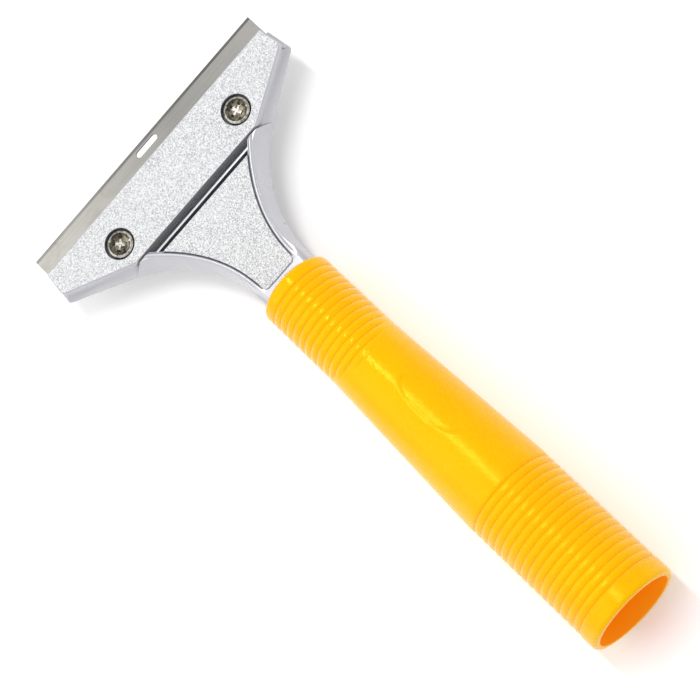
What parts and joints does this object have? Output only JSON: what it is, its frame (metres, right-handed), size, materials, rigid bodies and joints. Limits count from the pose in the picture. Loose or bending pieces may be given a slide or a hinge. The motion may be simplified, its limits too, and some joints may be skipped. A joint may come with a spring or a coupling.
{
  "type": "hand scraper",
  "caption": "Hand scraper: a wide straight blade clamped under a screwed plate on a cast fan-shaped head, on a ribbed hollow plastic handle.",
  "frame": {"origin": "on the handle's axis, halfway between the cutting edge and the butt", "axes": "+X along the blade, +Y from the butt towards the cutting edge, +Z out of the face with the clamp screws"},
  "size_m": [0.1036, 0.212, 0.0308],
  "materials": {
    "cast_alloy": "silver coated die casting, smooth rims and sides, a fine pebble on the raised panel",
    "pebbled_alloy": "silver coated die casting with a fine pebble texture and smooth broken edges",
    "blade_steel": "satin rolled steel strip with a ground edge",
    "screw_steel": "dark nickel plated",
    "yellow_plastic": "glossy injection moulded"
  },
  "bodies": {
    "head": {"head_casting": "cast_alloy", "handle": "yellow_plastic"},
    "plate": {"clamp_plate": "pebbled_alloy"},
    "strip": {"blade": "blade_steel"},
    "left_screw": {"clamp_screw_left": "screw_steel"},
    "right_screw": {"clamp_screw_right": "screw_steel"}
  },
  "joints": [
    {"name": "plate_lift", "type": "slide", "parent": "head", "child": "plate", "axis": [0, 0, 1], "range_m": [0, 0.0032]},
    {"name": "left_screw_turn", "type": "hinge", "parent": "plate", "child": "left_screw", "pos_m": [-0.02705, 0.0867, 0.004], "axis": [0, 0, 1], "range_deg": [0, 1440]},
    {"name": "right_screw_turn", "type": "hinge", "parent": "plate", "child": "right_screw", "pos_m": [0.02705, 0.0867, 0.004], "axis": [0, 0, 1], "range_deg": [0, 1440]},
    {"name": "blade_draw", "type": "slide", "parent": "head", "child": "strip", "axis": [0, 1, 0], "range_m": [0, 0.0085]}
  ],
  "couplings": [
    {"joint": "left_screw_turn", "follows": "plate_lift", "rad_per_m": 7853.9},
    {"joint": "right_screw_turn", "follows": "plate_lift", "rad_per_m": 7853.9}
  ]
}
